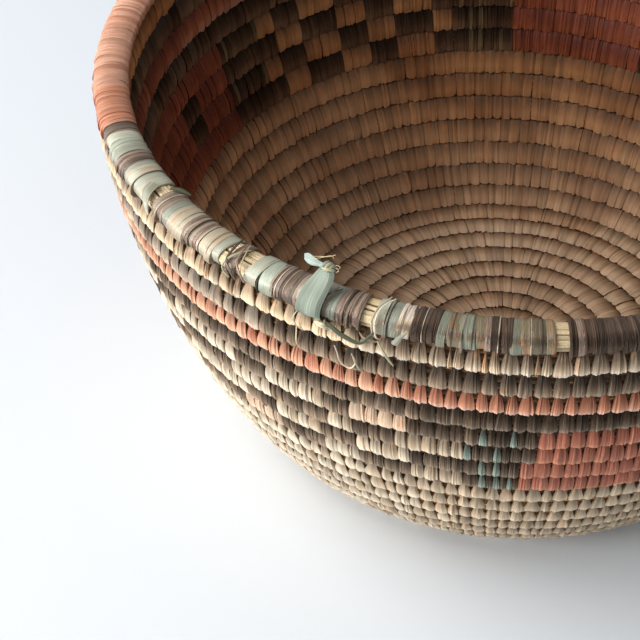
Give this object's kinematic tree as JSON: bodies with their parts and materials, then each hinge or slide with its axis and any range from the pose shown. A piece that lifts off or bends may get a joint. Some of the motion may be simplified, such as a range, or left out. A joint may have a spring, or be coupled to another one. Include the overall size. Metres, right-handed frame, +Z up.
{
  "type": "coiled basket",
  "caption": "Round open bowl basket coiled from a grass bundle, sewn with dyed leaf strip in bands and a stepped pattern, with a thick rim bound in leaf.",
  "frame": {"origin": "on the floor, under the middle of the basket", "axes": "+Z up through the open mouth; -Y is the side nearest the picture's camera"},
  "size_m": [0.3122, 0.3122, 0.1632],
  "materials": {
    "natural_leaf": "matte split palm leaf",
    "charcoal_leaf": "matte dyed palm leaf",
    "coral_leaf": "matte dyed palm leaf",
    "patterned_leaf": "matte palm leaf in four colours",
    "brown_leaf": "satin dyed palm leaf",
    "sage_leaf": "satin dyed palm leaf",
    "green_leaf": "matte dyed palm leaf",
    "straw": "satin dry straw",
    "grass": "matte dry grass"
  },
  "bodies": {
    "root": {"base_stitching": "natural_leaf", "foundation_coil": "grass", "knot_tail": "sage_leaf", "loose_strip": "green_leaf", "rim_bundle": "straw", "rim_wrap_01_coral": "coral_leaf", "rim_wrap_02_brown": "brown_leaf", "rim_wrap_03_sage": "sage_leaf", "rim_wrap_04_brown": "brown_leaf", "rim_wrap_05_sage": "sage_leaf", "rim_wrap_06_brown": "brown_leaf", "rim_wrap_07_sage": "sage_leaf", "rim_wrap_08_brown": "brown_leaf", "rim_wrap_09_sage": "sage_leaf", "rim_wrap_10_brown": "brown_leaf", "rim_wrap_11_sage": "sage_leaf", "rim_wrap_12_brown": "brown_leaf", "rim_wrap_13_sage": "sage_leaf", "rim_wrap_14_sage": "sage_leaf", "rim_wrap_15_brown": "brown_leaf", "rim_wrap_16_sage": "sage_leaf", "rim_wrap_17_natural": "natural_leaf", "rim_wrap_18_brown": "brown_leaf", "rim_wrap_19_sage": "sage_leaf", "rim_wrap_20_brown": "brown_leaf", "rim_wrap_21_sage": "sage_leaf", "rim_wrap_22_brown": "brown_leaf", "rim_wrap_23_sage": "sage_leaf", "rim_wrap_24_coral": "coral_leaf", "rim_wrap_25_brown": "brown_leaf", "rim_wrap_26_sage": "sage_leaf", "round_01_natural": "natural_leaf", "round_02_charcoal": "charcoal_leaf", "round_03_coral": "coral_leaf", "round_04_charcoal": "charcoal_leaf", "round_05_patterned": "patterned_leaf", "round_06_patterned": "patterned_leaf", "round_07_patterned": "patterned_leaf", "round_08_patterned": "patterned_leaf", "round_09_natural": "natural_leaf", "round_10_natural": "natural_leaf", "round_11_natural": "natural_leaf", "round_12_natural": "natural_leaf", "round_13_natural": "natural_leaf", "round_14_natural": "natural_leaf", "round_15_natural": "natural_leaf", "round_16_natural": "natural_leaf", "start_button": "natural_leaf"}
  },
  "joints": []
}
